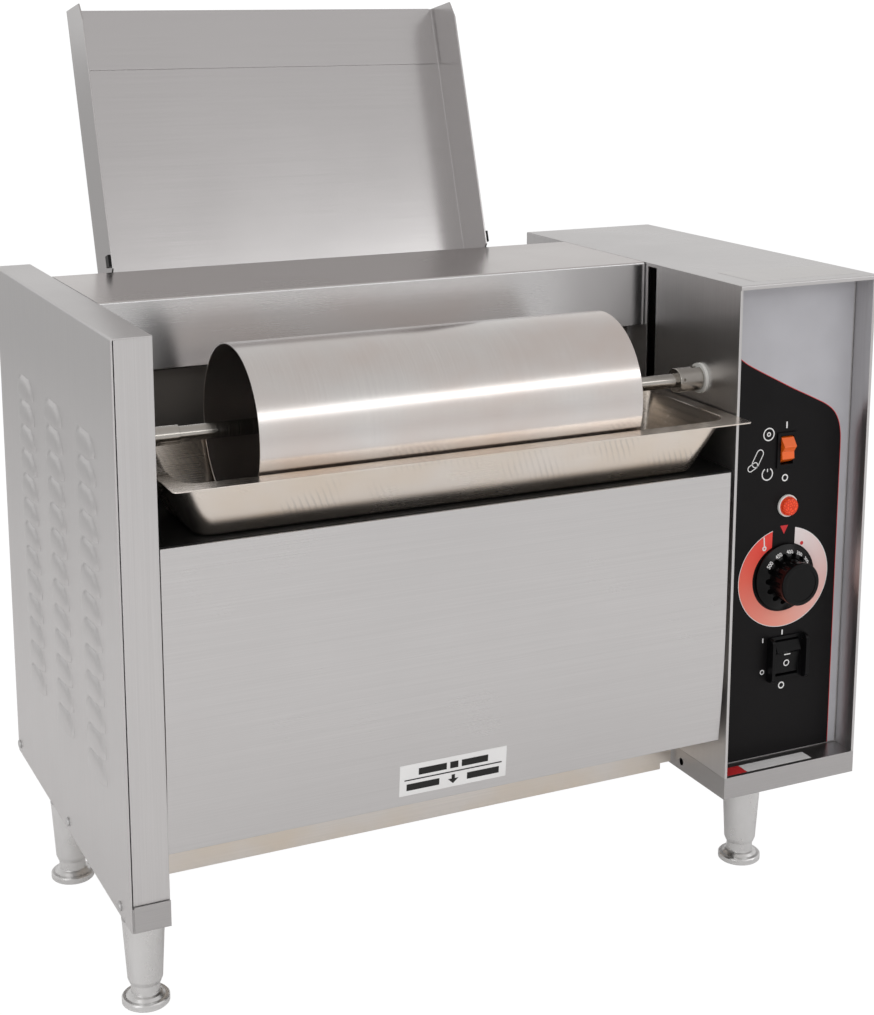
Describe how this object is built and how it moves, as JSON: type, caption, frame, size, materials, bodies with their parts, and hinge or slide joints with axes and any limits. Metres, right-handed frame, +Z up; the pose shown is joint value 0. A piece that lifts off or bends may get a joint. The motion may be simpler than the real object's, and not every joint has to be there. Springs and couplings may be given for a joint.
{
  "type": "vertical conveyor bun toaster with butter roller",
  "caption": "Counter-top vertical bun toaster: rotating butter roller over a pan, hood over a heated core, rear feed tray and a side control box on adjustable feet.",
  "frame": {"origin": "on the floor under the middle of the machine's bounding box", "axes": "+X to the operator's right, +Y to the back, +Z up"},
  "size_m": [0.655, 0.4358, 0.728],
  "materials": {
    "brushed_stainless": "fine brushed grain",
    "pan_steel": "rolled, slightly heat tinted",
    "roller_steel": "brushed around the drum",
    "polished_steel": "turned and polished",
    "galvanised_steel": "dull galvanised",
    "drive_steel": "oiled steel",
    "heat_tinted_steel": "warm heat tint",
    "screw_steel": "plain",
    "black_steel": "satin black",
    "platen_aluminium": "dark seasoned casting",
    "element_sheath": "dull oxidised sheath",
    "copper_tube": "drawn tube",
    "silicone_belt": "matte silicone",
    "nickel_plate": "bright satin plate",
    "white_nylon": "moulded",
    "black_plastic": "moulded, slight sheen",
    "orange_plastic": "moulded translucent look",
    "red_lens": "moulded lens",
    "printed_overlay": "printed polycarbonate film",
    "white_label": "printed film"
  },
  "bodies": {
    "body": {"left_side_cover": "brushed_stainless", "left_base_channel": "brushed_stainless", "left_tower_wall": "brushed_stainless", "cover_screws": "screw_steel", "right_base_tray": "brushed_stainless", "control_box_wall": "brushed_stainless", "control_box_side_cover": "brushed_stainless", "control_box_top_cover": "brushed_stainless", "control_box_rear_panel": "galvanised_steel", "control_panel": "brushed_stainless", "panel_overlay": "printed_overlay", "rear_panel": "brushed_stainless", "discharge_ramp": "heat_tinted_steel", "pan_shelf": "black_steel", "platens": "platen_aluminium", "core_end_plates": "galvanised_steel", "hood_rails": "galvanised_steel", "heating_elements": "element_sheath", "front_conveyor_belt": "silicone_belt", "rear_conveyor_belt": "silicone_belt", "shaft_bearings": "white_nylon", "roller_wall_bushing": "white_nylon", "roller_saddle": "brushed_stainless", "gearmotor": "black_steel", "drive_chains": "drive_steel", "thermostat": "galvanised_steel", "thermostat_capillary": "copper_tube", "terminal_block": "white_nylon", "motor_switch_housing": "black_plastic", "power_switch_housing": "black_plastic", "lamp_bezel": "white_nylon", "lamp_lens": "red_lens", "cord_gland": "black_plastic", "legs": "nickel_plate"},
    "hood": {"hood": "brushed_stainless"},
    "front_panel": {"front_panel": "brushed_stainless", "front_label": "white_label"},
    "bun_tray": {"bun_tray": "brushed_stainless", "tray_bumpers": "black_plastic"},
    "butter_pan": {"butter_pan": "pan_steel"},
    "roller_carriage": {"bearing_sleeve": "polished_steel"},
    "butter_roller": {"roller_shell": "roller_steel", "roller_spiders": "galvanised_steel", "roller_shaft": "polished_steel", "drive_coupling": "polished_steel"},
    "drive_stub": {"drive_stub": "drive_steel"},
    "front_upper_shaft": {"front_upper_shaft": "drive_steel"},
    "front_lower_shaft": {"front_lower_shaft": "drive_steel"},
    "rear_upper_shaft": {"rear_upper_shaft": "drive_steel"},
    "rear_lower_shaft": {"rear_lower_shaft": "drive_steel"},
    "countershaft": {"countershaft": "drive_steel"},
    "motor_output": {"motor_sprocket": "drive_steel"},
    "thermostat_knob": {"thermostat_knob": "black_plastic"},
    "motor_rocker": {"motor_rocker": "orange_plastic"},
    "power_rocker": {"power_rocker": "black_plastic"},
    "front_left_foot": {"front_left_foot": "nickel_plate"},
    "rear_left_foot": {"rear_left_foot": "nickel_plate"},
    "front_right_foot": {"front_right_foot": "nickel_plate"},
    "rear_right_foot": {"rear_right_foot": "nickel_plate"}
  },
  "joints": [
    {"name": "roller_lift", "type": "slide", "parent": "body", "child": "roller_carriage", "axis": [0, 0, 1], "range_m": [0, 0.2]},
    {"name": "roller_spin", "type": "hinge", "parent": "roller_carriage", "child": "butter_roller", "pos_m": [-0.0622, -0.1384, 0.4234], "axis": [1, 0, 0], "continuous": true},
    {"name": "pan_pull", "type": "slide", "parent": "body", "child": "butter_pan", "axis": [0, -1, 0], "range_m": [0, 0.12]},
    {"name": "drive_stub_spin", "type": "hinge", "parent": "body", "child": "drive_stub", "pos_m": [0.2008, -0.1384, 0.4234], "axis": [1, 0, 0], "continuous": true},
    {"name": "front_upper_spin", "type": "hinge", "parent": "body", "child": "front_upper_shaft", "pos_m": [-0.0522, -0.0804, 0.3192], "axis": [1, 0, 0], "continuous": true},
    {"name": "front_lower_spin", "type": "hinge", "parent": "body", "child": "front_lower_shaft", "pos_m": [-0.0522, -0.0804, 0.1477], "axis": [1, 0, 0], "continuous": true},
    {"name": "rear_upper_spin", "type": "hinge", "parent": "body", "child": "rear_upper_shaft", "pos_m": [-0.0522, 0.1416, 0.3192], "axis": [1, 0, 0], "continuous": true},
    {"name": "rear_lower_spin", "type": "hinge", "parent": "body", "child": "rear_lower_shaft", "pos_m": [-0.0522, 0.1416, 0.1477], "axis": [1, 0, 0], "continuous": true},
    {"name": "countershaft_spin", "type": "hinge", "parent": "body", "child": "countershaft", "pos_m": [0.2128, -0.0444, 0.3192], "axis": [1, 0, 0], "continuous": true},
    {"name": "motor_output_spin", "type": "hinge", "parent": "body", "child": "motor_output", "pos_m": [0.2008, -0.0804, 0.2049], "axis": [1, 0, 0], "continuous": true},
    {"name": "hood_lift", "type": "slide", "parent": "body", "child": "hood", "axis": [0, 0, 1], "range_m": [0, 0.15]},
    {"name": "front_panel_pull", "type": "slide", "parent": "body", "child": "front_panel", "axis": [0, -1, 0], "range_m": [0, 0.08]},
    {"name": "tray_lift", "type": "slide", "parent": "body", "child": "bun_tray", "axis": [0, 0.314, 0.9494], "range_m": [0, 0.12]},
    {"name": "knob_turn", "type": "hinge", "parent": "body", "child": "thermostat_knob", "pos_m": [0.2598, -0.1824, 0.2494], "axis": [0, 1, 0], "range_deg": [-215, 55]},
    {"name": "motor_rocker_tilt", "type": "hinge", "parent": "body", "child": "motor_rocker", "pos_m": [0.2576, -0.1659, 0.361], "axis": [1, 0, 0], "range_deg": [-26, 0]},
    {"name": "power_rocker_tilt", "type": "hinge", "parent": "body", "child": "power_rocker", "pos_m": [0.2648, -0.1659, 0.1765], "axis": [1, 0, 0], "range_deg": [-12, 0]},
    {"name": "front_left_foot_screw", "type": "slide", "parent": "body", "child": "front_left_foot", "axis": [0, 0, -1], "range_m": [0, 0.019]},
    {"name": "rear_left_foot_screw", "type": "slide", "parent": "body", "child": "rear_left_foot", "axis": [0, 0, -1], "range_m": [0, 0.019]},
    {"name": "front_right_foot_screw", "type": "slide", "parent": "body", "child": "front_right_foot", "axis": [0, 0, -1], "range_m": [0, 0.019]},
    {"name": "rear_right_foot_screw", "type": "slide", "parent": "body", "child": "rear_right_foot", "axis": [0, 0, -1], "range_m": [0, 0.019]}
  ],
  "couplings": [
    {"joint": "pan_pull", "follows": "roller_lift", "ratio": 0.6},
    {"joint": "drive_stub_spin", "follows": "roller_spin", "ratio": 1},
    {"joint": "front_upper_spin", "follows": "roller_spin", "ratio": 1},
    {"joint": "front_lower_spin", "follows": "roller_spin", "ratio": 1},
    {"joint": "motor_output_spin", "follows": "roller_spin", "ratio": 1},
    {"joint": "countershaft_spin", "follows": "roller_spin", "ratio": -1},
    {"joint": "rear_upper_spin", "follows": "roller_spin", "ratio": -1},
    {"joint": "rear_lower_spin", "follows": "roller_spin", "ratio": -1}
  ]
}
